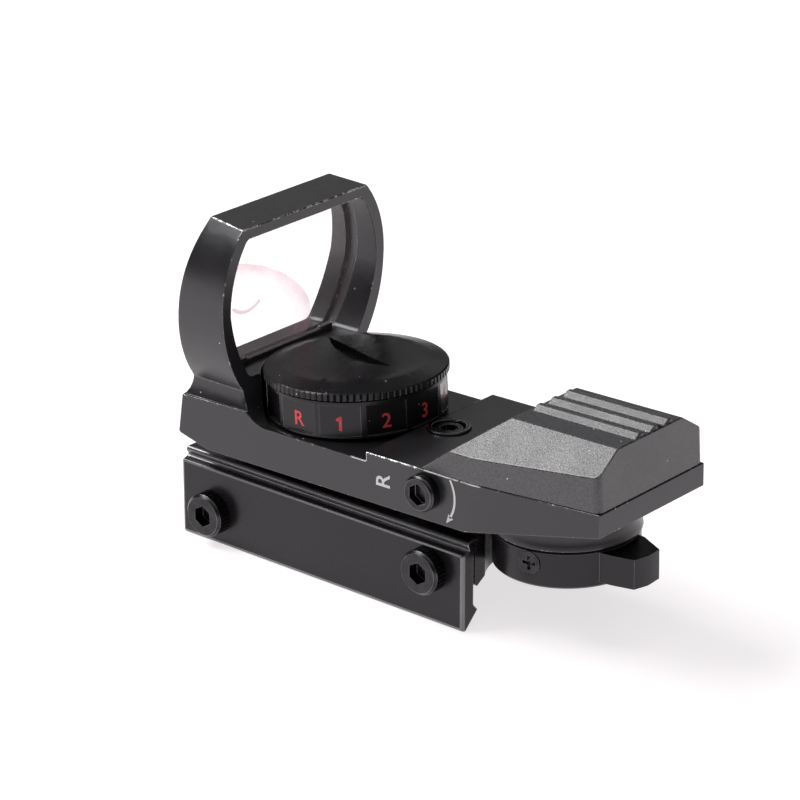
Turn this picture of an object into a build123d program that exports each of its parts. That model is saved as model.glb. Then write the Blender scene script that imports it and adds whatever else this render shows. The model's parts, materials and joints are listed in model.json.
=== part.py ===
from build123d import *
import math
import os

# Open reflex red dot finder on a clamp base for a 21.2 mm dovetail rail.
# Frame: origin on the rail seat, midway along the base; +Y to the target,
# +Z up, so the eye is at -Y and the clamp jaw at -X. Millimetres.

# ---- rail clamp base ----
BASE_HALF_LEN = 28.75
BASE_TOP = 7.5
FOOT_Z = -6.9
OUTER_X = 13.55
SEAT_HALF = 6.9
JAW_GAP = 0.2
JAW_OPEN = 3.0
FRONT_BOLT = (22.1, -1.6)
REAR_BOLT = (-22.0, 1.75)
BOLT_R = 1.4
BOLT_HEAD_R = 3.55
BOLT_HEAD_LEN = 2.5
RUN = 0.06

# ---- sight body, drawn level and then tipped about the elevation axle ----
REST_TILT = 1.07
AXLE_Y, AXLE_Z = 22.0, 12.4
AXLE_R = 1.5
BODY_HALF = 15.14
BODY_REAR_HALF = 12.76
BODY_FRONT, BODY_REAR = 27.7, -53.3
TAPER_Y = -31.7
UNDER_Z, DECK_Z, POCKET_Z = 9.6, 17.62, 16.2
CAVITY_HALF = 10.5
PLATE_T = 1.0

# ---- hood and lens ----
HOOD_TOP_FRONT = (20.54, 47.87)
HOOD_TOP_REAR = (13.19, 47.2)
LENS_T = 2.2
LENS_LEAN = 7.0
LENS_FOOT_Y = 20.6
LENS_FOOT_Z = 22.8

# ---- brightness knob, on an axis that leans towards the hood ----
KNOB_Y = 3.4
KNOB_LEAN = 2.0
DRUM_R, CAP_R = 14.05, 14.47
DRUM_Z0, DRUM_Z1 = 0.4, 6.2
PLUG_R = 12.0
FLAT_R, FLAT_HALF = 13.62, 3.2
CAP_SKIRT, CAP_SHOULDER, CAP_TOP = 6.55, 7.72, 8.7
CAP_DISH_R, CAP_DISH_Z = 10.4, 8.2
KNURL_TEETH, KNURL_CUT = 90, 0.22
HUB_R = 5.0
STEPS = 12
CELL_R = 10.0
SLOT_LEN, SLOT_BOW, SLOT_TURN = 17.4, 2.3, -105.3
SLOT_MID = (2.3, 1.2)

# ---- windage and elevation ----
ELEV_Y = -14.9
WIND_Y, WIND_Z = -22.8, 14.3
ADJ_R = 1.25
THREAD_GAP = 0.3
SPRING_X = 6.7

# ---- reticle selector ----
SEL_Y = -37.5
SEL_R = 11.2
SEL_Z0, SEL_Z1 = 2.16, 7.98
BOSS_Z = 8.15
SHAFT_R = 2.0
SEL_STEP = 40.0
SEL_SCREW_TURN = 188.0
SEL_STOPS = (-1, 0, 1, 2)
LED_Y = -32.75

# ---- rear cover ----
COVER_TOP = 26.25
COVER_TOP_HALF = 7.8
COVER_HIP = 32.5
COVER_WALL = 1.5
BRACKET_Z = 17.65


def prism_y(face, y0, y1):
    """Extrude a sketch drawn as (x, z) from y0 to y1."""
    return extrude(Plane.XZ.offset(-y1) * face, y1 - y0)


def prism_x(face, x0, x1):
    """Extrude a sketch drawn as (y, z) from x0 to x1."""
    return extrude(Plane.YZ.offset(x0) * face, x1 - x0)


def prism_z(face, z0, z1):
    """Extrude a sketch drawn as (x, y) from z0 to z1."""
    return extrude(Plane.XY.offset(z0) * face, z1 - z0)


def poly(*points):
    return make_face(Polyline(*points, close=True))


def block(x0, x1, y0, y1, z0, z1):
    centre = Pos((x0 + x1) / 2, (y0 + y1) / 2, (z0 + z1) / 2)
    return centre * Box(x1 - x0, y1 - y0, z1 - z0)


def rod(start, direction, radius, length):
    return Solid.make_cylinder(radius, length, Plane(origin=start, z_dir=direction))


def hexagon(start, direction, across_flats, length):
    face = RegularPolygon(across_flats / math.sqrt(3), 6)
    return extrude(Plane(origin=start, z_dir=direction) * face, length)


def turned(*points):
    """Revolve an outline of (radius, z) points about Z."""
    return revolve(Plane.XZ * poly(*points), Axis.Z)


def ring(outer, inner, z0, z1):
    return turned((inner, z0), (outer, z0), (outer, z1), (inner, z1))


def coil(radius, wire, pitch, height):
    """A compression spring standing on z = 0, with its wire inside the height."""
    path = Helix(pitch, height - 2 * wire, radius, center=(0, 0, wire))
    return sweep(Plane(path @ 0, z_dir=path % 0) * Circle(wire), path)


SIGHT = Pos(0, AXLE_Y, AXLE_Z) * Rot(X=-REST_TILT) * Pos(0, -AXLE_Y, -AXLE_Z)
KNOB = SIGHT * Pos(0, KNOB_Y, POCKET_Z) * Rot(X=-KNOB_LEAN)
KNOB_IN_BODY = Pos(0, KNOB_Y, POCKET_Z) * Rot(X=-KNOB_LEAN)
SELECTOR = SIGHT * Pos(0, SEL_Y, 0)
LENS_IN_BODY = Pos(0, LENS_FOOT_Y, LENS_FOOT_Z) * Rot(X=LENS_LEAN)


# ------------------------------------------------------------------ base ----

def jaw_outline():
    """Section of the clamp jaw: foot, gripping lip, leaning shoulder, nose and groove."""
    return poly(
        (-OUTER_X, -6.5), (-OUTER_X, 5.45), (-13.4, 5.6), (-12.3, 5.9), (-12.0, 6.2),
        (-12.45, 6.75), (-12.45, 7.2), (-12.15, 7.5), (-9.8, 7.5), (-10.95, 4.9),
        (-10.95, -3.1), (-9.9, -4.2), (-12.75, FOOT_Z), (-13.25, FOOT_Z))


def base_outline():
    """Section of the base: seat land, relief grooves, and the fixed jaw on +X."""
    inner = -10.95 + JAW_GAP
    return poly(
        (-9.8 + JAW_GAP, BASE_TOP), (inner, 5.0), (inner, 0.2), (-10.2, -0.3),
        (-7.1, 1.55), (-SEAT_HALF, 0), (SEAT_HALF, 0), (7.1, 1.55), (10.2, -0.3),
        (10.95, -0.6), (10.95, -3.1), (9.9, -4.2), (12.75, FOOT_Z), (13.25, FOOT_Z), (OUTER_X, -6.5),
        (OUTER_X, 5.45), (13.4, 5.6), (12.3, 5.9), (12.0, 6.2), (12.45, 6.75),
        (12.45, 7.2), (12.15, BASE_TOP))


def rail_base():
    base = prism_y(base_outline(), -BASE_HALF_LEN, BASE_HALF_LEN)
    notch_r = SEL_R + 0.9
    base -= rod((0, SEL_Y, -10), (0, 0, 1), notch_r, 30)
    base -= rod((0, AXLE_Y, -1), (0, 0, 1), 2.0 + RUN, 12)
    base -= rod((0, AXLE_Y, -1), (0, 0, 1), 3.5, 3.2)
    base -= block(-4.2, 4.2, ELEV_Y - 3.1, ELEV_Y + 3.1, -1, 5)
    base -= block(-3.6, 3.6, ELEV_Y - 2.1, ELEV_Y + 2.1, 4.9, 9)
    base -= block(-7.1, 7.1, WIND_Y - 2.2, WIND_Y + 2.4, 6.7, 9)
    for side in (-1, 1):
        base -= rod((5.2 * side, WIND_Y + 0.1, 4.3), (0, 0, 1), 0.8, 4)
        base -= rod((SPRING_X * side, ELEV_Y, 5.5), (0, 0, 1), 2.75, 4)
    base -= block(-7.4, 7.4, FRONT_BOLT[0] - 1.9, FRONT_BOLT[0] + 1.9, -1, 0.4)
    for y, z in (FRONT_BOLT, REAR_BOLT):
        base -= rod((-14, y, z), (1, 0, 0), BOLT_R + 0.1, 30)
        base -= hexagon((OUTER_X - 1.6, y, z), (1, 0, 0), 5.5, 3)
    return base


def clamp_nuts():
    nuts = []
    for y, z in (FRONT_BOLT, REAR_BOLT):
        nut = hexagon((OUTER_X - 1.6, y, z), (1, 0, 0), 5.4, 1.5)
        nuts.append(nut - rod((0, y, z), (1, 0, 0), BOLT_R + RUN, 30))
    return Compound([n.solid() for n in nuts])


def clamp_jaw():
    jaw = prism_y(jaw_outline(), -BASE_HALF_LEN, BASE_HALF_LEN)
    for y, z in (FRONT_BOLT, REAR_BOLT):
        jaw -= rod((-14, y, z), (1, 0, 0), BOLT_R + 0.1, 30)
    ends = jaw.edges().filter_by(Axis.Z).group_by(Axis.X)[0]
    return chamfer(ends, 0.3)


def clamp_screw(y, z):
    face = -OUTER_X - BOLT_HEAD_LEN - 0.02
    head = rod((face, y, z), (1, 0, 0), BOLT_HEAD_R, BOLT_HEAD_LEN)
    head = chamfer(head.edges().group_by(Axis.X)[0], 0.4)
    for step in range(30):
        turn = Pos(0, y, z) * Rot(X=step * 12) * Pos(0, -y, -z)
        knurl = rod((face + 0.7, y + BOLT_HEAD_R + 0.05, z), (1, 0, 0), 0.2, 4)
        head -= turn * knurl
    head += rod((face + 1, y, z), (1, 0, 0), BOLT_R, 29.6)
    return head - hexagon((face - 0.1, y, z), (1, 0, 0), 3.1, 1.9)


def windage_post():
    foot = block(-7, 7, WIND_Y - 2.1, WIND_Y + 2.3, 6.75, 8.2)
    tower = block(-1.5, 1.5, WIND_Y - 2.9, WIND_Y + 2.9, 7.55, 15.8)
    tower -= block(-3, 3, WIND_Y - 2.05, WIND_Y + 2.05, 10.6, 17)
    post = foot + tower
    for side in (-1, 1):
        post -= rod((5.2 * side, WIND_Y + 0.1, 0), (0, 0, 1), 1.0, 20)
    return post


def post_screws():
    screws = []
    for side in (-1, 1):
        x = 5.2 * side
        screw = rod((x, WIND_Y + 0.1, 8.2), (0, 0, 1), 1.5, 0.9)
        screw += rod((x, WIND_Y + 0.1, 4.5), (0, 0, 1), 0.78, 3.8)
        screw -= hexagon((x, WIND_Y + 0.1, 8.6), (0, 0, 1), 1.3, 1)
        screws.append(screw.solid())
    return Compound(screws)


# -------------------------------------------------------- swivel and nuts ----

def swing_block():
    """Turns about the king pin and carries the elevation axle in its lug."""
    plate = rod((0, AXLE_Y, 7.85), (0, 0, 1), 3.4, 1.0)
    lug = block(-4, 4, AXLE_Y - 2.9, AXLE_Y + 2.9, 7.85, 14.6)
    body = plate + lug
    body -= rod((-9, AXLE_Y, AXLE_Z), (1, 0, 0), AXLE_R + RUN, 18)
    return body - rod((0, AXLE_Y, 6), (0, 0, 1), 2.0, 4.2)


def king_pin():
    pin = rod((0, AXLE_Y, 0.4), (0, 0, 1), 3.2, 1.6)
    pin += rod((0, AXLE_Y, 1.5), (0, 0, 1), 2.0, 8.7)
    return pin - hexagon((0, AXLE_Y, 0.3), (0, 0, 1), 2.5, 1.2)


def swing_washer():
    return Pos(0, AXLE_Y, 0) * ring(5.0, 2.1, 7.53, 7.83)


def elevation_nut():
    nut = block(-3.4, 3.4, ELEV_Y - 3.0, ELEV_Y + 3.0, 2.4, 4.85)
    nut += block(-2.8, 2.8, ELEV_Y - 2.0, ELEV_Y + 2.0, 4.0, 7.2)
    return nut - SIGHT * rod((0, ELEV_Y, -5), (0, 0, 1), ADJ_R + THREAD_GAP, 30)


def windage_nut():
    nut = block(-1.6, 1.6, -1.95, 1.95, -1.9, 1.9)
    for side in (-1, 1):
        nut += block(*sorted((1.6 * side, 2.6 * side)), -2.8, 2.8, -1.9, 1.9)
    nut -= rod((-9, 0, 0), (1, 0, 0), ADJ_R + THREAD_GAP, 18)
    place = SIGHT * Pos(0, WIND_Y, WIND_Z)
    return Pos(*place.position) * nut


# ------------------------------------------------------------ sight body ----

def half_width_prism(front_half, rear_half, front, rear, z0, z1):
    """Plan of the body: parallel sides that taper from TAPER_Y to the rear."""
    return prism_z(poly(
        (-front_half, front), (front_half, front), (front_half, TAPER_Y),
        (rear_half, rear), (-rear_half, rear), (-front_half, TAPER_Y)), z0, z1)


def hood_outline(k):
    """Outer section of the hood, as (x, z); k narrows it towards the front."""
    right = [
        Line((15.1 * k, 16.5), (15.1 * k, 17.7)),
        ThreePointArc((15.1 * k, 17.7), (14.55 * k, 19.0), (14.35 * k, 21.0)),
        ThreePointArc((14.35 * k, 21.0), (17.35 * k, 26.6), (18.8 * k, 34.4)),
        ThreePointArc((18.8 * k, 34.4), (17.85 * k, 41.1), (14.33 * k, 47.2)),
        Line((14.33 * k, 47.2), (13.4 * k, 48.5)),
    ]
    left = [edge.mirror(Plane.YZ) for edge in right]
    caps = [Line((-15.1 * k, 16.5), (15.1 * k, 16.5)), Line((-13.4 * k, 48.5), (13.4 * k, 48.5))]
    return make_face(right + left + caps)


def window_outline(grow=0.0):
    """Inner section of the hood, as (x, z)."""
    right = [
        ThreePointArc((12.6, 22.8), (15.2, 27.6), (16.9, 33.9)),
        ThreePointArc((16.9, 33.9), (16.15, 39.6), (13.2, 45.4)),
    ]
    left = [edge.mirror(Plane.YZ) for edge in right]
    face = make_face(right + left + [Line((-12.6, 22.8), (12.6, 22.8)), Line((-13.2, 45.4), (13.2, 45.4))])
    face = fillet(face.vertices().filter_by(lambda v: abs(v.X) < 14), 1.2)
    return offset(face, grow) if grow else face


def hood_side():
    """Side view of the hood, as (y, z): it thins towards its top."""
    return make_face([
        Line((14.6, 16.5), (13.0, 18.1)),
        ThreePointArc((13.0, 18.1), (13.95, 19.7), (14.35, 22.0)),
        Line((14.35, 22.0), HOOD_TOP_REAR),
        Line(HOOD_TOP_REAR, HOOD_TOP_FRONT),
        ThreePointArc(HOOD_TOP_FRONT, (23.5, 34.5), (25.1, 22.4)),
        ThreePointArc((25.1, 22.4), (25.5, 19.7), (26.6, 17.75)),
        Line((26.6, 17.75), (26.6, 16.5)),
        Line((26.6, 16.5), (14.6, 16.5)),
    ])


def lens_blank(grow, half_thick):
    face = window_outline(grow)
    slab = prism_y(Pos(0, -LENS_FOOT_Z) * face, -half_thick, half_thick)
    return LENS_IN_BODY * slab


def hood():
    rear = Plane.XZ.offset(-6) * hood_outline(1.017)
    front = Plane.XZ.offset(-30) * hood_outline(0.961)
    shell = loft([rear, front], ruled=True) & prism_x(hood_side(), -25, 25)
    shell -= prism_y(window_outline(), 5, 35)
    return shell - lens_blank(0.85, LENS_T / 2 + 0.03)


def body_side():
    """Side view of the lower housing, as (y, z), with the knob pocket cut in its top."""
    return make_face([
        Polyline((9.4, POCKET_Z), (-11.2, POCKET_Z), (-11.2, DECK_Z), (BODY_REAR, DECK_Z),
                 (BODY_REAR, 13.94), (-30, UNDER_Z), (21.66, UNDER_Z), (27.4, 11.1),
                 (BODY_FRONT, 11.4), (26.65, 17.8), (13.3, 18.1)),
        ThreePointArc((13.3, 18.1), (11.3, 16.75), (9.4, POCKET_Z)),
    ])


def sight_body():
    body = prism_x(body_side(), -20, 20)
    body &= half_width_prism(BODY_HALF, BODY_REAR_HALF, 40, BODY_REAR, 0, 60)
    body += hood()
    body += Pos(0, SEL_Y, 0) * turned(
        (0, BOSS_Z), (11.5, BOSS_Z), (11.3, 9.0), (11.0, 10.0), (11.0, 14), (0, 14))
    body -= KNOB_IN_BODY * rod((0, 0, 0), (0, 0, 1), CAP_R + 0.3, 10)
    # electronics bay, mechanism bay, optics bay
    body -= block(-CAVITY_HALF, CAVITY_HALF, -8.5, 11.2, 5, 14.7)
    body -= block(-CAVITY_HALF, CAVITY_HALF, -25.9, -11.9, 5, 16.3)
    body -= Pos(0, SEL_Y, 0) * rod((0, 0, 11.6), (0, 0, 1), 9.6, 10)
    body -= block(-5.2, 5.2, -33, -25.5, 12.4, 16.4)
    body -= block(7.4, 10.5, -29, -8, 12.4, 14.2)
    body -= block(5, 10.5, -29, -25.5, 12.4, 14.2)
    body += rod((0, ELEV_Y, 11.8), (0, 0, 1), 3.9, 5)
    # rabbet for the bottom plate, and the bay for the swing block
    body -= block(-12.9, 12.9, -25.9, 17.4, 5, UNDER_Z + PLATE_T)
    body -= block(-4.35, 4.35, AXLE_Y - 3.7, AXLE_Y + 3.6, 5, 15.4)
    body -= rod((0, AXLE_Y, 5), (0, 0, 1), 5.6, UNDER_Z + 0.9 - 5)
    body -= rod((-9.0, AXLE_Y, AXLE_Z), (1, 0, 0), AXLE_R, 40)
    # knob hub, detent, elevation and windage screws, selector shaft
    body -= KNOB_IN_BODY * rod((0, 0, -6), (0, 0, 1), HUB_R + RUN, 12)
    body -= KNOB_IN_BODY * rod((0, 9.5, -2.4), (0, 0, 1), 1.05, 5)
    body -= rod((0, ELEV_Y, 5), (0, 0, 1), ADJ_R + RUN, 20)
    body -= rod((0, ELEV_Y, 15.9), (0, 0, 1), 3.4, 5)
    body -= rod((-20, WIND_Y, WIND_Z), (1, 0, 0), ADJ_R + RUN, 20)
    body -= rod((0, SEL_Y, 5), (0, 0, 1), SHAFT_R + RUN, 20)
    body -= rod((0, SEL_Y + 6.5, 5), (0, 0, 1), 1.05, 6.2)
    for x, y in plate_screw_places():
        body -= rod((x, y, 5), (0, 0, 1), 0.8, 9.5)
    for x, y in cover_screw_places():
        body -= rod((x, y, 5), (0, 0, 1), 1.0, 20)
        body -= rod((x, y, 5), (0, 0, 1), 1.9, 10.4)
    return body


def plate_screw_places():
    return [(side * x, y) for side in (-1, 1) for x, y in ((11.0, 14.2), (6.2, -10.2))]


def cover_screw_places():
    return [(side * 9.4, -48.0) for side in (-1, 1)]


def objective_lens():
    return lens_blank(0.8, LENS_T / 2)


def lens_retainer():
    """A bar with two feet that holds the lower edge of the lens from behind."""
    back = -LENS_T / 2
    bar = block(-11.4, 11.4, back - 0.85, back - 0.05, 0.3, 1.0)
    for side in (-1, 1):
        foot = block(8.6, 11.4, back - 0.85, back - 0.05, 0.3, 1.35)
        bar += foot if side > 0 else mirror(foot, Plane.YZ)
    knob_room = KNOB_IN_BODY * rod((0, 0, 0), (0, 0, 1), CAP_R + 0.3, 10)
    return LENS_IN_BODY * bar - knob_room


def elevation_axle():
    return rod((-8.9, AXLE_Y, AXLE_Z), (1, 0, 0), AXLE_R - 0.01, 23.6)


def bottom_plate():
    plate = block(-12.8, 12.8, -25.8, 17.3, UNDER_Z, UNDER_Z + PLATE_T - 0.02)
    plate -= block(-7.6, 7.6, -30, -18.4, 5, 15)
    plate -= rod((0, ELEV_Y, 5), (0, 0, 1), 3.4, 10)
    plate -= rod((0, AXLE_Y, 5), (0, 0, 1), 5.6, 10)
    for x, y in plate_screw_places():
        plate -= rod((x, y, 5), (0, 0, 1), 0.95, 10)
        plate -= Pos(x, y, UNDER_Z - 0.01) * Cone(1.75, 0.95, 0.8, align=(Align.CENTER, Align.CENTER, Align.MIN))
    return plate


def plate_screws():
    screws = []
    for x, y in plate_screw_places():
        screw = Pos(x, y, UNDER_Z) * Cone(1.65, 0.78, 0.8, align=(Align.CENTER, Align.CENTER, Align.MIN))
        screw += rod((x, y, UNDER_Z + 0.5), (0, 0, 1), 0.78, 3.9)
        screw -= cross_recess((x, y, UNDER_Z - 0.1), (0, 0, 1), 1.6, 0.5)
        screws.append(screw.solid())
    return Compound(screws)


def cross_recess(start, direction, width, depth):
    arm = Rectangle(width, width * 0.25) + Rectangle(width * 0.25, width)
    return extrude(Plane(origin=start, z_dir=direction) * arm, depth)


# ------------------------------------------------------- rear cover group ----

def cover_solid(inset):
    """The cover's outer form, or with an inset the hollow inside it."""
    hip = math.tan(math.radians(COVER_HIP))
    top = COVER_TOP - inset
    half = COVER_TOP_HALF - 0.5 * inset
    section = poly((-16, DECK_Z - 1), (16, DECK_Z - 1), (16, top - (16 - half) * hip), (half, top),
                   (-half, top), (-16, top - (16 - half) * hip))
    floor = DECK_Z - (1 if inset else 0)
    slope = 1.25 * inset
    side = poly((-21.7 - 1.6 * slope, floor), (-33.3 - slope, top), (-52.75 + inset, top),
                (BODY_REAR + 0.15 + inset, floor))
    shape = prism_y(section, -60, -10) & prism_x(side, -20, 20)
    return shape & half_width_prism(15.0 - inset, 12.62 - inset, 40, BODY_REAR, 0, 60)


def cover_ridges():
    ridges = None
    for x in (-3.7, -0.15, 3.4):
        outline = poly((x, COVER_TOP - 0.3), (x, COVER_TOP), (x + 1.15, COVER_TOP + 0.75),
                       (x + 2.0, COVER_TOP + 0.75), (x + 2.2, COVER_TOP - 0.3))
        ridge = prism_y(outline, -52.7, -33.9)
        ridges = ridge if ridges is None else ridges + ridge
    return ridges


def rear_cover():
    outer = cover_solid(0)
    upright = outer.edges().filter_by(lambda e: abs(e.center().X) > 11.5 and e.center().Y < -52.5
                                      and abs(e.tangent_at(0.5).Z) > 0.7)
    outer = fillet(upright, 1.2)
    cover = outer - cover_solid(COVER_WALL) + cover_ridges()
    for x, y in cover_screw_places():
        cover += rod((x, y, BRACKET_Z + 0.83), (0, 0, 1), 1.9, 12) & outer
        cover -= rod((x, y, DECK_Z), (0, 0, 1), 0.8, 4.4)
    cover -= window_place() * Box(5.2, 3.2, 8)
    return cover


def window_place():
    """Centre of the exit window, square to the cover's front slope."""
    return Pos(0, -26.6, 20.35) * Rot(X=-36.6)


def emitter_window():
    return window_place() * Pos(0, 0, -0.2) * Box(5.1, 3.1, 1.0)


def cover_screws():
    screws = []
    for x, y in cover_screw_places():
        screw = rod((x, y, 14.0), (0, 0, 1), 1.75, 1.38)
        screw += rod((x, y, 15.0), (0, 0, 1), 0.78, 6.4)
        screw -= cross_recess((x, y, 13.9), (0, 0, 1), 2.0, 0.7)
        screws.append(screw.solid())
    return Compound(screws)


def mirror_block():
    block45 = poly((-34.2, 18.6), (-34.2, 21.5), (-31.3, 21.5))
    return prism_x(block45, -3.2, 3.2)


def mirror_bracket():
    plate = block(-3.2, 3.2, -35.2, -34.25, BRACKET_Z, 21.5)
    foot = block(-3.2, 3.2, -49.8, -34.25, BRACKET_Z, BRACKET_Z + 0.8)
    arms = block(-11.2, 11.2, -49.8, -46.2, BRACKET_Z, BRACKET_Z + 0.8)
    bracket = plate + foot + arms
    for x, y in cover_screw_places():
        bracket -= rod((x, y, 10), (0, 0, 1), 1.0, 20)
    return bracket


def led_board():
    return block(-4.9, 4.9, -34.0, -26.2, 12.45, 13.25)


def led_emitter():
    lamp = rod((0, LED_Y, 13.27), (0, 0, 1), 0.95, 0.35)
    return lamp + rod((0, LED_Y, 13.5), (0, 0, 1), 0.7, 0.35)


def circuit_board():
    board = block(-9.9, 9.9, -8.0, 10.7, 11.4, 12.2)
    for x, y in ((-8.8, 9.6), (8.8, 9.6)):
        board -= rod((x, y, 10), (0, 0, 1), 0.7, 5)
    return board


def board_parts():
    places = [(-6.5, -4.5, 3.4, 2.2), (6.0, 6.5, 3.0, 3.0), (-6.8, 8.4, 2.0, 1.2)]
    chips = [block(x - w / 2, x + w / 2, y - d / 2, y + d / 2, 10.7, 11.38) for x, y, w, d in places]
    return Compound([c.solid() for c in chips])


def ribbon():
    flat = block(7.7, 10.1, -28.0, -7.6, 12.5, 12.65)
    return flat + block(5.05, 10.1, -28.0, -26.6, 12.5, 12.65)


# ------------------------------------------------------- adjuster screws ----

def elevation_collar():
    return Pos(0, ELEV_Y, 0) * ring(3.38, 2.55, 15.92, 18.05)


def elevation_screw():
    head = rod((0, ELEV_Y, 15.95), (0, 0, 1), 2.45, 1.75)
    head = chamfer(head.edges().group_by(Axis.Z)[-1], 0.3)
    shank = rod((0, ELEV_Y, 2.2), (0, 0, 1), ADJ_R, 14)
    groove = Pos(0, ELEV_Y, 0) * ring(3, 0.95, 11.15, 11.65)
    return head + shank - groove - hexagon((0, ELEV_Y, 16.6), (0, 0, 1), 2.5, 3)


def elevation_clip():
    clip = Pos(0, ELEV_Y, 0) * ring(2.3, 0.96, 11.2, 11.6)
    return clip - block(-0.8, 0.8, ELEV_Y - 5, ELEV_Y, 10, 12)


def windage_screw():
    head = rod((-17.04, WIND_Y, WIND_Z), (1, 0, 0), 2.85, 1.88)
    head = chamfer(head.edges().group_by(Axis.X)[0], 0.35)
    shank = rod((-15.5, WIND_Y, WIND_Z), (1, 0, 0), ADJ_R, 20.5)
    groove = Plane(origin=(0, WIND_Y, WIND_Z), z_dir=(1, 0, 0)).location * ring(3, 0.95, -10.4, -9.8)
    return head + shank - groove - hexagon((-17.2, WIND_Y, WIND_Z), (1, 0, 0), 3.0, 1.5)


def windage_clip():
    clip = Plane(origin=(0, WIND_Y, WIND_Z), z_dir=(1, 0, 0)).location * ring(1.7, 0.96, -10.35, -9.85)
    return clip - block(-11, -9, WIND_Y - 0.6, WIND_Y + 0.6, WIND_Z - 5, WIND_Z)


def return_springs():
    springs = [Pos(SPRING_X * side, ELEV_Y, 5.52) * coil(2.3, 0.25, 1.2, 4.75) for side in (-1, 1)]
    return Compound([s.solid() for s in springs])


# -------------------------------------------------------- brightness knob ----

def brightness_drum():
    drum = ring(DRUM_R, 0.0, DRUM_Z0, DRUM_Z1)
    for step in range(STEPS):
        flat = block(FLAT_R, DRUM_R + 2, -FLAT_HALF, FLAT_HALF, DRUM_Z0 + 0.35, DRUM_Z1 - 0.55)
        drum -= Rot(Z=step * 360 / STEPS) * flat
    drum += rod((0, 0, -2.9), (0, 0, 1), HUB_R, 4)
    drum -= rod((0, 0, 1.7), (0, 0, 1), CELL_R + 0.25, 10)
    drum -= rod((0, 0, 4.9), (0, 0, 1), PLUG_R + RUN, 10)
    drum -= ring(5.6, 3.8, -2.3, -1.8)
    drum -= ring(10.6, 8.4, 0, DRUM_Z0 + 0.5)
    for step in range(STEPS):
        dimple = Pos(0, 9.5, DRUM_Z0 + 0.45) * Sphere(0.9)
        drum -= Rot(Z=step * 360 / STEPS) * dimple
    return drum


def knob_clip():
    clip = ring(6.4, 3.85, -2.25, -1.85)
    return clip - block(-2.5, 2.5, -8, 0, -3, 0)


def contact_wiper():
    return ring(4.6, 1.2, -3.3, -2.95)


def coin_cell():
    cell = rod((0, 0, 1.9), (0, 0, 1), CELL_R, 2.6)
    return cell + rod((0, 0, 4.4), (0, 0, 1), 8.6, 0.6)


def cell_contact():
    return ring(7.0, 1.5, 1.72, 1.88)


def cap_o_ring():
    return Pos(0, 0, 5.95) * Torus(11.79, 0.22)


def battery_cap():
    cap = turned((0, CAP_SKIRT), (CAP_R, CAP_SKIRT), (CAP_R, CAP_SHOULDER - 0.2),
                 (CAP_R - 0.25, CAP_SHOULDER), (CAP_DISH_R, CAP_TOP), (0, CAP_DISH_Z))
    cap += ring(PLUG_R, 10.4, 5.1, CAP_SKIRT + 0.4)
    cap += rod((0, 0, 5.05), (0, 0, 1), 4.0, 1.9)
    cap -= ring(PLUG_R + 1, 11.55, 5.65, DRUM_Z1 + 0.01)
    cut = KNURL_CUT
    for step in range(KNURL_TEETH):
        tooth = Pos(CAP_R + 0.06, 0, 0) * Rot(Z=45) * block(-cut, cut, -cut, cut, 6.0, 8.6)
        cap -= Rot(Z=step * 360 / KNURL_TEETH) * tooth
    return cap - coin_slot()


def coin_slot():
    """A crescent milled in the dished cap: one straight wall and one bowed wall."""
    half = SLOT_LEN / 2
    outline = make_face([
        ThreePointArc((-half, 0), (0, -SLOT_BOW), (half, 0)),
        ThreePointArc((half, 0), (0, 0.3), (-half, 0)),
    ])
    return Pos(*SLOT_MID) * Rot(Z=SLOT_TURN) * prism_z(outline, CAP_TOP - 1.5, CAP_TOP + 1)


# ------------------------------------------------------- reticle selector ----

def selector_wheel():
    wheel = rod((0, 0, SEL_Z0), (0, 0, 1), SEL_R, SEL_Z1 - SEL_Z0)
    lever = prism_z(poly((-5.2, -8.5), (-4.9, -12.0), (-4.1, -15.6), (-1.6, -16.3), (1.4, -16.1),
                         (3.7, -11.7), (4.2, -8.5)), SEL_Z0 + 0.75, SEL_Z1 - 0.35)
    wheel = chamfer(wheel.edges(), 0.3) + lever
    wheel -= rod((0, 0, 0), (0, 0, 1), SHAFT_R, 20)
    wheel -= ring(7.6, 5.4, SEL_Z1 - 0.5, SEL_Z1 + 1)
    wheel -= Rot(Z=SEL_SCREW_TURN) * rod((SEL_R - 0.75, 0, 5.8), (1, 0, 0), 1.9, 4)
    wheel -= Rot(Z=SEL_SCREW_TURN) * rod((1.0, 0, 5.8), (1, 0, 0), 0.9, 12)
    for stop in SEL_STOPS:
        wheel -= Rot(Z=stop * SEL_STEP) * Pos(0, 6.5, SEL_Z1 - 0.45) * Sphere(0.9)
    return wheel


def selector_screw():
    head = rod((SEL_R - 0.73, 0, 5.8), (1, 0, 0), 1.8, 0.75)
    shank = rod((SHAFT_R + 0.02, 0, 5.8), (1, 0, 0), 0.88, SEL_R - 0.7 - SHAFT_R)
    screw = head + shank - cross_recess((SEL_R - 0.45, 0, 5.8), (1, 0, 0), 2.2, 2)
    return Rot(Z=SEL_SCREW_TURN) * screw


def selector_shaft():
    shaft = rod((0, 0, SEL_Z0 + 0.2), (0, 0, 1), SHAFT_R, 13.1)
    return shaft - ring(3, 1.5, 14.9, 15.25)


def selector_clip():
    return ring(3.0, 1.52, 14.92, 15.22)


def reticle_disc():
    disc = ring(9.2, SHAFT_R, 14.1, 14.85)
    for stop in SEL_STOPS:
        disc -= Rot(Z=stop * SEL_STEP) * rod((0, LED_Y - SEL_Y, 10), (0, 0, 1), 0.7, 10)
    return disc


def selector_spacer():
    return ring(3.2, SHAFT_R + RUN, 11.65, 14.05)


def detent_balls():
    knob_ball = KNOB * Pos(0, 9.5, -0.15) * Sphere(1.0)
    selector_ball = SELECTOR * Pos(0, 6.5, BOSS_Z + 0.3) * Sphere(1.0)
    return Compound([knob_ball.solid(), selector_ball.solid()])


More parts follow.
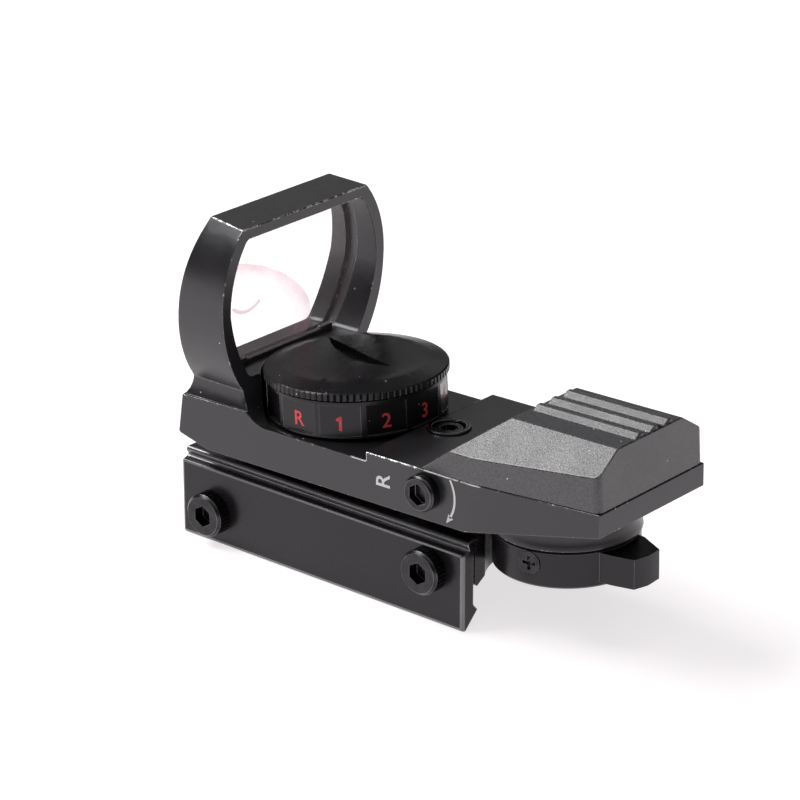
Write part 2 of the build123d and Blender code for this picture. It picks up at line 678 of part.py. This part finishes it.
def detent_springs():
    knob_spring = KNOB * Pos(0, 9.5, -2.38) * coil(0.75, 0.12, 0.45, 1.2)
    selector_spring = SELECTOR * Pos(0, 6.5, BOSS_Z + 1.35) * coil(0.75, 0.12, 0.45, 1.6)
    return Compound([knob_spring.solid(), selector_spring.solid()])


def parts():
    named = {
        "rail_base": rail_base(),
        "clamp_nuts": clamp_nuts(),
        "windage_post": windage_post(),
        "post_screws": post_screws(),
        "clamp_jaw": clamp_jaw(),
        "clamp_screw_front": clamp_screw(*FRONT_BOLT),
        "clamp_screw_rear": clamp_screw(*REAR_BOLT),
        "swing_block": swing_block(),
        "king_pin": king_pin(),
        "swing_washer": swing_washer(),
        "elevation_nut": elevation_nut(),
        "windage_nut": windage_nut(),
        "return_springs": return_springs(),
        "detent_balls": detent_balls(),
        "detent_springs": detent_springs(),
    }
    in_sight = [
        sight_body, objective_lens, lens_retainer, elevation_axle, bottom_plate, plate_screws,
        rear_cover, cover_screws, emitter_window, mirror_block, mirror_bracket, led_board,
        led_emitter, circuit_board, board_parts, ribbon, elevation_collar, elevation_screw,
        elevation_clip, windage_screw, windage_clip,
    ]
    on_knob = [brightness_drum, knob_clip, contact_wiper, coin_cell, cell_contact, cap_o_ring, battery_cap]
    on_selector = [selector_wheel, selector_screw, selector_shaft, selector_clip, reticle_disc, selector_spacer]
    for place, makers in ((SIGHT, in_sight), (KNOB, on_knob), (SELECTOR, on_selector)):
        for maker in makers:
            named[maker.__name__] = place * maker()
    return named


os.makedirs("parts", exist_ok=True)
for name, shape in parts().items():
    export_step(shape, f"parts/{name}.step")
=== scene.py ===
import json
import math

import bpy
from mathutils import Matrix, Vector

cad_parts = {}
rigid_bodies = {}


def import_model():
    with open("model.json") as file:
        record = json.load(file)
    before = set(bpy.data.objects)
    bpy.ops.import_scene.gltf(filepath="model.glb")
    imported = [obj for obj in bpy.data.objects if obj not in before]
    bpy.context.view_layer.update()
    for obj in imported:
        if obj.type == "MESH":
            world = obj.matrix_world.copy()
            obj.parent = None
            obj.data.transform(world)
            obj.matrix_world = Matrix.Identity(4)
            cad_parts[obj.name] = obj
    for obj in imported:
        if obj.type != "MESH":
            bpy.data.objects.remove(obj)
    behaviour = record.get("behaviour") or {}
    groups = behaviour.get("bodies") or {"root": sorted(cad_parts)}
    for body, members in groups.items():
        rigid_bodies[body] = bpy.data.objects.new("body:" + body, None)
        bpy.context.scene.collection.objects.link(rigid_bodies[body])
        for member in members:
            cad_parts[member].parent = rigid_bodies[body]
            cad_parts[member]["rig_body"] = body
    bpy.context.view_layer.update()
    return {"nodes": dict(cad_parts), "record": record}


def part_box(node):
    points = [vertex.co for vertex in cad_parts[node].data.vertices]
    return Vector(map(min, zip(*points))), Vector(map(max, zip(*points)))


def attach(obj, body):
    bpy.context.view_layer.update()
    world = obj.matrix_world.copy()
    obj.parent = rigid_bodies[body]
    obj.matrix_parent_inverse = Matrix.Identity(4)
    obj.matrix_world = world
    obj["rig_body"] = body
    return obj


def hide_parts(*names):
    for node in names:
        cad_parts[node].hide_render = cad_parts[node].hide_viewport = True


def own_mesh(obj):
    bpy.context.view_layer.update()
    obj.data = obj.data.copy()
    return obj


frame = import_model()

# Red dot finder: finishes, edge breaks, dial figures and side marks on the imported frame.
# Lengths are millimetres times MM, except on the stage, where they are metres.

MM = 0.001
nodes = frame["nodes"]
SLOTS = {entry["node"]: entry["material_slot"] for entry in frame["record"]["subparts"]}

REST_TILT = 1.07
AXLE = Vector((0, 22.0, 12.4)) * MM
KNOB_FOOT = Vector((0, 3.4, 16.2)) * MM
KNOB_LEAN = 2.0
FLOOR_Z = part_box("clamp_jaw")[0].z

# The sight is drawn level, then tipped about its axle; the knob leans a little further.
TIP = (Matrix.Translation(AXLE) @ Matrix.Rotation(math.radians(-REST_TILT), 4, "X")
       @ Matrix.Translation(-AXLE))
KNOB = TIP @ Matrix.Translation(KNOB_FOOT) @ Matrix.Rotation(math.radians(-KNOB_LEAN), 4, "X")

# Dial figures.
DRUM_FLAT_R = 13.62 * MM
DRUM_MID_Z = 2.65 * MM
DIAL_FIGURES = ("R", "1", "2", "3", "4", "5", "6", "7", "8", "9", "10")
DIAL_STEP = 30
DIAL_START = 180
FIGURE_HEIGHT = 2.3 * MM
INK_THICK = 0.02 * MM

# Lettering, as shares of a figure's height.
STROKE_SHARE = 0.2
FLAG_WIDTH, FLAG_LENGTH, FLAG_X, FLAG_Y = 0.85, 0.34, -0.13, 0.335
FLAG_TURN = -52
FIGURE_PITCH = 0.68
LETTER_SWELL = 0.014
CAPITAL_SHARE = 0.70
LETTER_STEPS = 4

# Side marks.
WINDAGE = Vector((-15.14, -22.8, 14.3)) * MM
ARROW_R = 5.6 * MM
ARROW_WIDTH = 0.36 * MM
ARROW_HEAD = 1.0 * MM
ARROW_HEAD_SLIM = 0.62
ARROW_SPAN = (-36, 33)
ARROW_STEPS = 180
SIDE_R_HEIGHT = 2.7 * MM
SIDE_R_AT = Vector((-15.14, -14.7, 13.75)) * MM

# Where the edges are rubbed most: the hood's top and the left edge of the deck.
HOOD_RUB_Z = (44.5 * MM, 46.5 * MM)
HOOD_RUB = 0.6
DECK_EDGE_X = -14.6 * MM
DECK_EDGE_Y = (-33.0 * MM, -8.0 * MM)
DECK_EDGE_Z = 16.4 * MM
RUB_REACH = 0.18

DUST_CELL_MM = 1.3
METAL_DUST = (0.9, 0.88, 0.88)
PLASTIC_DUST = (0.8, 0.8, 0.8)
RUBBED_METAL = (0.75, 0.74, 0.75)

# The lens's eye side, and the leaning oval and small curl of the reflection painted on it in pink, as
# X and Z.
EYE_FACE_Y, EYE_FACE_Z, EYE_FACE_LEAN = 20.79 * MM, 22.8 * MM, 0.104
OVAL_AT, OVAL_SIZE = (-10.5 * MM, 31.6 * MM), (18.3 * MM, 8.1 * MM)
OVAL_COS, OVAL_SIN = 0.938, 0.347
OVAL_BAND = (0.15, 0.92, 0.98, 1.04)
CURL_AT, CURL_SIZE = (-8.6 * MM, 35.6 * MM), (4.6 * MM, 4.4 * MM)
CURL_BAND = (0.6, 0.8, 0.95, 1.05)
CURL_TOP, CURL_RIGHT = 32.9 * MM, -5.6 * MM
CURL_SHARE = 0.9
# The glass's own tint, and the pink of the painted reflection.
CLEAR_GLASS, PAINTED_REFLECTION_PINK = (0.92, 0.80, 0.84), (1.0, 0.25, 0.38)

# Edge breaks and springs.
WELD = 0.002 * MM
FLAT_ANGLE = 0.05
SPRING_SMOOTH = 40

# Stage: lights are name, size, watts, place and aim.
WORLD_LIGHT = 0.08
WORLD_WHITE = (1.0, 0.985, 1.0, 1)
FLOOR_SIZE = 6.0
FLOOR_LOW, FLOOR_HIGH = (0.56, 0.54, 0.55), (0.59, 0.57, 0.58)
FLOOR_WHITE = (1.0, 0.97, 0.98)
FLOOR_GLOW = 0.72
LIGHTS = (
    ("overhead", (0.95, 0.5), 12.0, (-0.24, 0.62, 0.86), (0, 0, 0)),
    ("wide fill", (1.6, 1.6), 5.0, (-0.5, -0.5, 1.3), (0, 0, 0)),
    ("right back", (0.7, 0.3), 0.27, (0.82, 0.7, 0.56), (0, 0, 0.02)),
)
VIEW_TURN, VIEW_RISE = -49.73, 22.09
VIEW_TARGET = (0, -5.02, 20.32)
VIEW_DISTANCE = 531.2
VIEW_LENS, VIEW_SENSOR = 155.8, 36.0
VIEW_CLIP = (0.01, 50)


# ---------------------------------------------------------------- shading ----

class Value:
    """A socket that can be added to, scaled and compared in plain expressions."""

    def __init__(self, finish, socket):
        self.finish = finish
        self.socket = socket

    def _math(self, operation, a, b, clamp=False):
        made = self.finish.node(
            "ShaderNodeMath", {"operation": operation, "use_clamp": clamp}, {0: a, 1: b})
        return made.out("Value")

    def __add__(self, other):
        return self._math("ADD", self, other)

    def __radd__(self, other):
        return self._math("ADD", other, self)

    def __sub__(self, other):
        return self._math("SUBTRACT", self, other)

    def __rsub__(self, other):
        return self._math("SUBTRACT", other, self)

    def __mul__(self, other):
        return self._math("MULTIPLY", self, other)

    def __rmul__(self, other):
        return self._math("MULTIPLY", other, self)

    def __truediv__(self, other):
        return self._math("DIVIDE", self, other)

    def __rtruediv__(self, other):
        return self._math("DIVIDE", other, self)

    def __gt__(self, other):
        return self._math("GREATER_THAN", self, other)

    def __lt__(self, other):
        return self._math("LESS_THAN", self, other)

    def clamped(self):
        return self._math("ADD", self, 0.0, clamp=True)


class Node:
    """A shader node whose outputs are read by name or number."""

    def __init__(self, finish, node):
        self.finish = finish
        self.node = node

    def out(self, name):
        return Value(self.finish, self.node.outputs[name])


def rgba(colour):
    """A plain triple with its alpha; a link is left as it is."""
    return (*colour, 1.0) if isinstance(colour, tuple) else colour


def times(tone, share):
    return tuple(c * share for c in tone)


class Finish:
    """One node material, read in Object coordinates."""

    MIX_FACTOR, MIX_A, MIX_B, MIX_RESULT = 0, 6, 7, 2

    def __init__(self, name):
        self.material = bpy.data.materials.new(name)
        self.material.use_nodes = True
        self.tree = self.material.node_tree
        self.tree.nodes.clear()
        self.place = self.node("ShaderNodeTexCoord").out("Object")

    def node(self, kind, settings=None, sockets=None):
        made = self.tree.nodes.new(kind)
        for name, value in (settings or {}).items():
            setattr(made, name, value)
        for name, value in (sockets or {}).items():
            if isinstance(value, Value):
                self.tree.links.new(value.socket, made.inputs[name])
            else:
                made.inputs[name].default_value = value
        return Node(self, made)

    def xyz(self):
        spot = self.node("ShaderNodeSeparateXYZ", None, {"Vector": self.place})
        return spot.out("X"), spot.out("Y"), spot.out("Z")

    def noise(self, size_mm, detail=3.0, rough=0.55):
        made = self.node("ShaderNodeTexNoise", None, {
            "Vector": self.place, "Scale": 1.0 / (size_mm * MM), "Detail": detail,
            "Roughness": rough})
        return made.out("Fac")

    def cells(self, size_mm):
        """Distance to the nearest cell centre, in cells, and that cell's random number."""
        made = self.node("ShaderNodeTexVoronoi", {"feature": "F1"}, {
            "Vector": self.place, "Scale": 1.0 / (size_mm * MM)})
        pick = self.node("ShaderNodeSeparateColor", None, {"Color": made.out("Color")})
        return made.out("Distance"), pick.out("Red")

    def ramp(self, fac, low, high, a=0.0, b=1.0):
        """fac from low..high mapped to a..b, held at the ends."""
        made = self.node("ShaderNodeMapRange", {"clamp": True}, {
            "Value": fac, "From Min": low, "From Max": high, "To Min": a, "To Max": b})
        return made.out("Result")

    def band(self, fac, rise, full, fade, gone):
        """0 below rise, 1 from full to fade, and 0 again past gone."""
        return self.ramp(fac, rise, full) * self.ramp(fac, fade, gone, 1.0, 0.0)

    def mix(self, fac, a, b):
        """Mix of two colours, each a triple or a link."""
        made = self.node("ShaderNodeMix", {"data_type": "RGBA"}, {
            self.MIX_FACTOR: fac, self.MIX_A: rgba(a), self.MIX_B: rgba(b)})
        return made.out(self.MIX_RESULT)

    def bump(self, height, strength, distance_mm):
        made = self.node("ShaderNodeBump", None, {
            "Height": height, "Strength": strength, "Distance": distance_mm * MM})
        return made.out("Normal")

    def surface(self, **sockets):
        """The Principled shader, with constants on its own sockets and links for what varies."""
        shader = self.node("ShaderNodeBsdfPrincipled", None, {
            name.replace("_", " "): rgba(value) for name, value in sockets.items()})
        self.node("ShaderNodeOutputMaterial", None, {"Surface": shader.out("BSDF")})
        return self.material


def dust(finish, share, size):
    """Fine pale specks: a small dot in the cells whose random number is above share."""
    distance, pick = finish.cells(DUST_CELL_MM)
    return (distance < size) * (pick > share)


def handled(finish):
    """Where hands and bags rub the edges most."""
    x, y, z = finish.xyz()
    hood_top = finish.ramp(z, *HOOD_RUB_Z)
    back, front = DECK_EDGE_Y
    deck_edge = (x < DECK_EDGE_X) * (z > DECK_EDGE_Z) * (y < front) * (y > back)
    return (hood_top * HOOD_RUB + deck_edge).clamped()


def anodised(name, tone, rough, shine, worn=0.0):
    """Bead-blasted black anodised aluminium, slightly uneven, with handling polish and dust."""
    f = Finish(name)
    cloud = f.noise(11.0, detail=3.0)
    grain = f.noise(0.16, detail=2.0, rough=0.6)
    rub = f.ramp(f.noise(1.1, detail=5.0, rough=0.75) + handled(f) * RUB_REACH, 0.58, 0.70)
    speck = dust(f, share=0.93, size=0.085)
    shade = f.mix(cloud, times(tone, 0.75), times(tone, 1.4))
    rubbed = f.mix(rub * worn, shade, RUBBED_METAL)
    colour = f.mix(speck, rubbed, METAL_DUST)
    roughness = rough + (cloud - 0.5) * 0.18 + (grain - 0.5) * 0.1 - rub * 0.05
    return f.surface(
        Base_Color=colour, Roughness=roughness.clamped(), Metallic=0.5, Specular_IOR_Level=shine,
        Normal=f.bump(grain, strength=0.25, distance_mm=0.02))


def moulded(name, tone, rough, relief):
    """Black moulded plastic with a spark-eroded grain."""
    f = Finish(name)
    grain = f.noise(0.32, detail=4.0, rough=0.65)
    cloud = f.noise(6.0, detail=2.0)
    speck = dust(f, share=0.95, size=0.08)
    mottle = f.ramp(grain, 0.40, 0.62)
    base = f.mix(mottle, times(tone, 0.35), times(tone, 1.9))
    colour = f.mix(speck, base, PLASTIC_DUST)
    roughness = rough + (cloud - 0.5) * 0.14 + (mottle - 0.5) * 0.16
    return f.surface(
        Base_Color=colour, Roughness=roughness.clamped(), Specular_IOR_Level=0.9,
        Normal=f.bump(grain, strength=relief, distance_mm=0.05))


def metal(name, tone, rough, relief=0.1):
    """Turned or ground metal with fine tool lines and a little tarnish."""
    f = Finish(name)
    lines = f.noise(0.12, detail=2.0)
    stain = f.ramp(f.noise(1.6, detail=4.0, rough=0.6), 0.4, 0.75)
    colour = f.mix(stain, tone, times(tone, 0.6))
    roughness = rough + (lines - 0.5) * 0.14 + stain * 0.08
    return f.surface(
        Base_Color=colour, Metallic=1.0, Roughness=roughness.clamped(),
        Normal=f.bump(lines, strength=relief, distance_mm=0.01))


def plain_detail(name, tone, rough):
    """A small part's plastic, rubber or film, with a fine grain."""
    f = Finish(name)
    grain = f.noise(0.4, detail=3.0)
    return f.surface(
        Base_Color=f.mix(grain, times(tone, 0.75), times(tone, 1.25)),
        Roughness=(rough + (grain - 0.5) * 0.12).clamped(),
        Normal=f.bump(grain, strength=0.12, distance_mm=0.01))


def ink(name, tone):
    """Screen-printed ink, thin in places."""
    f = Finish(name)
    wear = f.ramp(f.noise(0.5, detail=4.0, rough=0.7), 0.55, 0.8)
    return f.surface(
        Base_Color=f.mix(wear * 0.55, tone, times(tone, 0.45)),
        Roughness=(0.5 + wear * 0.15).clamped(),
        Normal=f.bump(wear, strength=0.1, distance_mm=0.01))


def lens_with_painted_reflection(name):
    """Clear glass with a painted reflection on its eye side, a reddish oval with a curl inside it, and
    a faint painted glow.
    """
    f = Finish(name)
    x, y, z = f.xyz()
    eye_face = y + (z - EYE_FACE_Z) * EYE_FACE_LEAN < EYE_FACE_Y
    across, rise = x - OVAL_AT[0], z - OVAL_AT[1]
    along = (across * OVAL_COS - rise * OVAL_SIN) / OVAL_SIZE[0]
    over = (across * OVAL_SIN + rise * OVAL_COS) / OVAL_SIZE[1]
    oval = f.band(along * along + over * over, *OVAL_BAND) * f.ramp(over, -0.5, 0.5, 0.3, 1.0)
    curl_x, curl_z = (x - CURL_AT[0]) / CURL_SIZE[0], (z - CURL_AT[1]) / CURL_SIZE[1]
    curl = (f.band(curl_x * curl_x + curl_z * curl_z, *CURL_BAND)
            * (z < CURL_TOP) * (x < CURL_RIGHT))
    drift = f.ramp(f.noise(7.0, detail=2.0), 0.3, 0.7, 0.6, 1.0)
    # The painted reflection: the oval and the curl, drawn on the eye side only.
    painted_reflection = ((oval * drift + curl * CURL_SHARE) * eye_face).clamped()
    colour = f.mix(painted_reflection, CLEAR_GLASS, PAINTED_REFLECTION_PINK)
    # The lens also has a faint painted glow in these colours, which shows mostly where the painted
    # reflection makes it opaque.
    return f.surface(
        Base_Color=colour, Roughness=0.03, Alpha=(0.04 + painted_reflection * 0.52).clamped(),
        Emission_Color=colour, Emission_Strength=0.2, Specular_IOR_Level=0.7)


def clear_window(name, tone, alpha):
    """Tinted clear plastic with a slight haze."""
    f = Finish(name)
    haze = f.noise(1.2, detail=3.0)
    return f.surface(
        Base_Color=f.mix(haze, tone, times(tone, 0.8)),
        Roughness=(0.04 + haze * 0.06).clamped(), Alpha=(alpha + haze * 0.05).clamped())


FINISHES = {
    "anodised": anodised("satin black anodising", (0.012, 0.0105, 0.0125), 0.29, 0.62),
    "housing": anodised("matt black anodising", (0.024, 0.022, 0.025), 0.33, 1.0),
    "anodised_edge": anodised("anodised edge break", (0.14, 0.135, 0.145), 0.22, 1.0, worn=0.12),
    "housing_edge": anodised("rubbed edge break", (0.05, 0.048, 0.052), 0.24, 1.0, worn=0.9),
    "cover_plastic": moulded("matt grained cover", (0.036, 0.033, 0.037), 0.40, relief=1.0),
    "cover_edge": moulded("cover edge", (0.05, 0.047, 0.052), 0.34, relief=0.4),
    "black_screw": metal("black oxide screw", (0.05, 0.048, 0.051), 0.28),
    "screw_edge": metal("worn screw edge", (0.30, 0.29, 0.30), 0.22),
    "windage_edge": metal("black screw edge", (0.11, 0.105, 0.11), 0.26),
    "steel": metal("plain steel", (0.5, 0.5, 0.51), 0.3),
    "spring_steel": metal("spring wire", (0.42, 0.42, 0.44), 0.28),
    "brass": metal("turned brass", (0.62, 0.42, 0.16), 0.3),
    # The lens's finish carries the painted reflection and its painted glow.
    "lens_glass": lens_with_painted_reflection("lens with painted reflection"),
    "window_glass": clear_window("exit window", (0.5, 0.45, 0.47), 0.35),
    "mirror_face": metal("silvered mirror", (0.8, 0.8, 0.82), 0.05, relief=0.01),
    "board": plain_detail("solder mask", (0.02, 0.14, 0.06), 0.3),
    "chip": plain_detail("moulded package", (0.02, 0.02, 0.02), 0.5),
    "ribbon_film": plain_detail("amber film", (0.5, 0.22, 0.04), 0.25),
    "led": plain_detail("red lamp", (0.6, 0.03, 0.02), 0.15),
    "cell_can": metal("cell can", (0.55, 0.55, 0.57), 0.25),
    "seal": plain_detail("seal rubber", (0.015, 0.015, 0.015), 0.6),
    "reticle_plate": metal("etched plate", (0.2, 0.2, 0.21), 0.35),
}
RED_INK = ink("dial red", (0.78, 0.06, 0.075))
WHITE_INK = ink("side mark white", (0.62, 0.62, 0.60))

for node, slot in SLOTS.items():
    mesh = nodes[node].data
    mesh.materials.clear()
    mesh.materials.append(FINISHES[slot])
nodes["sight_body"].data.materials[0] = FINISHES["housing"]


# --------------------------------------------------------------- modelling ----

def only_none():
    bpy.ops.object.select_all(action="DESELECT")


def only(obj):
    """Select one object alone and make it active."""
    only_none()
    obj.select_set(True)
    bpy.context.view_layer.objects.active = obj


def apply_place(obj):
    only(obj)
    bpy.ops.object.transform_apply(location=True, rotation=True, scale=True)


def named(obj, name, material):
    obj.name = name
    obj.data.name = name
    obj.data.materials.clear()
    obj.data.materials.append(material)


def joined(members):
    only_none()
    for member in members:
        member.select_set(True)
    bpy.context.view_layer.objects.active = members[0]
    bpy.ops.object.join()
    return bpy.context.view_layer.objects.active


def stroke(width, length, at, turn_deg):
    """One straight printed stroke."""
    only_none()
    bpy.ops.mesh.primitive_plane_add(size=1.0)
    obj = bpy.context.active_object
    obj.scale = (width, length, 1)
    obj.rotation_euler = (0, 0, math.radians(turn_deg))
    obj.location = (*at, 0)
    apply_place(obj)
    return obj


def thicken(obj):
    """Give flat artwork the thickness of ink."""
    only(obj)
    solid = obj.modifiers.new("ink", "SOLIDIFY")
    solid.thickness = 2 * INK_THICK
    solid.offset = 0
    bpy.ops.object.modifier_apply(modifier=solid.name)


def one(height):
    """The figure 1, with its flag."""
    wide = height * STROKE_SHARE
    stem = stroke(wide, height, (0, 0), 0)
    flag = stroke(
        wide * FLAG_WIDTH, height * FLAG_LENGTH, (height * FLAG_X, height * FLAG_Y), FLAG_TURN)
    made = joined([stem, flag])
    thicken(made)
    return made


def letter(text, height):
    """A printed letter or figure as a thin mesh, centred and flat."""
    only_none()
    bpy.ops.object.text_add()
    obj = bpy.context.active_object
    obj.data.body = text
    obj.data.size = height / CAPITAL_SHARE
    obj.data.align_x = "CENTER"
    obj.data.align_y = "CENTER"
    obj.data.extrude = INK_THICK
    obj.data.offset = height * LETTER_SWELL
    obj.data.resolution_u = LETTER_STEPS
    bpy.ops.object.convert(target="MESH")
    return bpy.context.active_object


def figure(text, height, place):
    """A printed figure as a thin mesh. place takes flat text, read along X with Z out, to the part."""
    made = []
    for i, mark in enumerate(text):
        obj = one(height) if mark == "1" else letter(mark, height)
        obj.location.x += (i - (len(text) - 1) / 2) * height * FIGURE_PITCH
        apply_place(obj)
        made.append(obj)
    obj = joined(made)
    obj.matrix_world = place
    apply_place(obj)
    return obj


def welded_copy(node, name):
    """A copy of a CAD node with its loose triangles welded, left selected in edit mode."""
    only_none()
    obj = bpy.data.objects.new(name, nodes[node].data.copy())
    bpy.context.scene.collection.objects.link(obj)
    obj.data.name = name
    only(obj)
    bpy.ops.object.mode_set(mode="EDIT")
    bpy.ops.mesh.select_all(action="SELECT")
    bpy.ops.mesh.remove_doubles(threshold=WELD)
    return obj


def broken_edges(node, name, width_mm, edge, angle=28.0, smooth=30.0, clamp=True):
    """A finished copy of a machined or moulded part, its sharp edges rounded over."""
    source = nodes[node]
    obj = welded_copy(node, name)
    bpy.ops.mesh.dissolve_limited(angle_limit=math.radians(FLAT_ANGLE))
    bpy.ops.mesh.select_all(action="DESELECT")
    bpy.ops.object.mode_set(mode="OBJECT")
    obj.data.materials.append(FINISHES[edge])
    bevel = obj.modifiers.new("edge break", "BEVEL")
    bevel.width = width_mm * MM
    bevel.segments = 2
    bevel.limit_method = "ANGLE"
    bevel.angle_limit = math.radians(angle)
    bevel.use_clamp_overlap = clamp
    bevel.miter_outer = "MITER_ARC"
    bevel.material = len(obj.data.materials) - 1
    only(obj)
    bpy.ops.object.modifier_apply(modifier=bevel.name)
    bpy.ops.object.shade_smooth_by_angle(angle=math.radians(smooth))
    even = obj.modifiers.new("even normals", "WEIGHTED_NORMAL")
    even.mode = "FACE_AREA"
    even.weight = 50
    even.keep_sharp = True
    bpy.ops.object.modifier_apply(modifier=even.name)
    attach(obj, source["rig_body"])
    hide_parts(node)


# Node, piece, width in mm and edge finish. FREE isn't held back where edges are close together.
FREE = {"clamp": False}
EDGE_BREAKS = (
    ("rail_base", "base_machined", 0.22, "anodised_edge", {}),
    ("clamp_jaw", "jaw_machined", 0.22, "anodised_edge", FREE),
    ("sight_body", "housing_machined", 0.18, "housing_edge", FREE),
    ("rear_cover", "cover_moulded", 0.22, "cover_edge", FREE),
    ("brightness_drum", "drum_turned", 0.12, "anodised_edge", {"angle": 9.0, "smooth": 8.0}),
    ("battery_cap", "cap_turned", 0.09, "anodised_edge", {"angle": 20.0, "smooth": 9.0}),
    ("selector_wheel", "selector_turned", 0.14, "anodised_edge", {}),
    ("lens_retainer", "retainer_moulded", 0.10, "cover_edge", {}),
    ("elevation_screw", "elevation_screw_head", 0.10, "screw_edge", FREE),
    ("elevation_collar", "elevation_collar_ring", 0.24, "screw_edge", FREE),
    ("windage_screw", "windage_screw_head", 0.12, "windage_edge", {}),
    ("clamp_screw_front", "front_clamp_screw", 0.07, "screw_edge", {}),
    ("clamp_screw_rear", "rear_clamp_screw", 0.07, "screw_edge", {}),
    ("selector_screw", "lever_screw", 0.08, "screw_edge", {}),
)
for node, name, width_mm, edge, settings in EDGE_BREAKS:
    broken_edges(node, name, width_mm, edge, **settings)


def springs():
    """The two return springs, as a welded copy shaded smooth and attached to their body."""
    source = nodes["return_springs"]
    obj = welded_copy("return_springs", "return_spring_pair")
    bpy.ops.object.mode_set(mode="OBJECT")
    bpy.ops.object.shade_smooth_by_angle(angle=math.radians(SPRING_SMOOTH))
    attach(obj, source["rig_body"])
    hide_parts("return_springs")
    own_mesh(obj)


def dial_figures():
    """Red figures on the drum's flats."""
    made = []
    for step, text in enumerate(DIAL_FIGURES):
        turn = math.radians(DIAL_START + step * DIAL_STEP)
        out = Vector((math.cos(turn), math.sin(turn), 0))
        up = Vector((0, 0, 1))
        along = up.cross(out)
        at = out * DRUM_FLAT_R + up * DRUM_MID_Z
        place = Matrix.Translation(at) @ Matrix((along, up, out)).transposed().to_4x4()
        made.append(figure(text, FIGURE_HEIGHT, KNOB @ place))
    obj = joined(made)
    named(obj, "dial_figures", RED_INK)
    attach(obj, "brightness_knob")


def arrow_arc():
    """A curved stroke with a head at its lower end, drawn flat about its centre."""
    only_none()
    outer = ARROW_R + ARROW_WIDTH / 2
    bpy.ops.mesh.primitive_circle_add(vertices=ARROW_STEPS, radius=outer)
    arc = bpy.context.active_object
    bpy.ops.object.mode_set(mode="EDIT")
    bpy.ops.mesh.select_all(action="DESELECT")
    bpy.ops.object.mode_set(mode="OBJECT")
    low, high = (math.radians(a) for a in ARROW_SPAN)
    for vertex in arc.data.vertices:
        vertex.select = not low <= math.atan2(vertex.co.y, vertex.co.x) <= high
    bpy.ops.object.mode_set(mode="EDIT")
    bpy.ops.mesh.delete(type="VERT")
    bpy.ops.mesh.select_all(action="SELECT")
    bpy.ops.mesh.extrude_edges_move()
    shrink = (ARROW_R - ARROW_WIDTH / 2) / outer
    bpy.ops.transform.resize(value=(shrink, shrink, 1), center_override=(0, 0, 0))
    bpy.ops.object.mode_set(mode="OBJECT")
    only_none()
    bpy.ops.mesh.primitive_circle_add(vertices=3, radius=ARROW_HEAD, fill_type="NGON")
    head = bpy.context.active_object
    head.rotation_euler = (0, 0, low - math.pi)
    head.scale = (ARROW_HEAD_SLIM, 1.0, 1)
    head.location = (ARROW_R * math.cos(low), ARROW_R * math.sin(low), 0)
    apply_place(head)
    made = joined([arc, head])
    thicken(made)
    return made


def on_side(right, up, at):
    """Flat artwork to the housing's left side, whose outward direction is -X."""
    turn = Matrix((right, up, (-1, 0, 0))).transposed().to_4x4()
    return TIP @ Matrix.Translation(at) @ turn


def side_marks():
    """The white letter ahead of the windage screw and the curved arrow behind it."""
    mark = figure("R", SIDE_R_HEIGHT, on_side((0, 0, 1), (0, 1, 0), SIDE_R_AT))
    arrow = arrow_arc()
    arrow.matrix_world = on_side((0, -1, 0), (0, 0, 1), WINDAGE)
    apply_place(arrow)
    obj = joined([mark, arrow])
    named(obj, "side_marks", WHITE_INK)
    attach(obj, "sight")


springs()
side_marks()
dial_figures()


# ------------------------------------------------------------------- stage ----

def floor():
    only_none()
    bpy.ops.mesh.primitive_plane_add(size=FLOOR_SIZE, location=(0, 0, FLOOR_Z))
    obj = bpy.context.active_object
    f = Finish("pale floor")
    grain = f.noise(3.0, detail=2.0)
    f.surface(Base_Color=f.mix(grain, FLOOR_LOW, FLOOR_HIGH), Roughness=0.75,
              Emission_Color=FLOOR_WHITE, Emission_Strength=FLOOR_GLOW)
    named(obj, "floor", f.material)


def area_light(name, size, watts, at, aim):
    data = bpy.data.lights.new(name, "AREA")
    data.shape = "RECTANGLE"
    data.size, data.size_y = size
    data.energy = watts
    obj = bpy.data.objects.new(name, data)
    bpy.context.scene.collection.objects.link(obj)
    obj.location = at
    obj.rotation_euler = (Vector(aim) - Vector(at)).to_track_quat("-Z", "Y").to_euler()


def studio():
    """A faint white world and the lights, with colours shown as they are."""
    world = bpy.data.worlds.new("studio white")
    world.use_nodes = True
    background = world.node_tree.nodes["Background"]
    background.inputs["Color"].default_value = WORLD_WHITE
    background.inputs["Strength"].default_value = WORLD_LIGHT
    bpy.context.scene.world = world
    bpy.context.scene.view_settings.view_transform = "Standard"
    for light in LIGHTS:
        area_light(*light)


def camera():
    data = bpy.data.cameras.new("view")
    data.lens = VIEW_LENS
    data.sensor_width = VIEW_SENSOR
    data.clip_start, data.clip_end = VIEW_CLIP
    obj = bpy.data.objects.new("view", data)
    bpy.context.scene.collection.objects.link(obj)
    turn, rise = math.radians(VIEW_TURN), math.radians(VIEW_RISE)
    back = Vector((math.sin(turn) * math.cos(rise), -math.cos(turn) * math.cos(rise),
                   math.sin(rise)))
    obj.location = Vector(VIEW_TARGET) * MM + back * VIEW_DISTANCE * MM
    obj.rotation_euler = (-back).to_track_quat("-Z", "Y").to_euler()
    bpy.context.scene.camera = obj


floor()
studio()
camera()
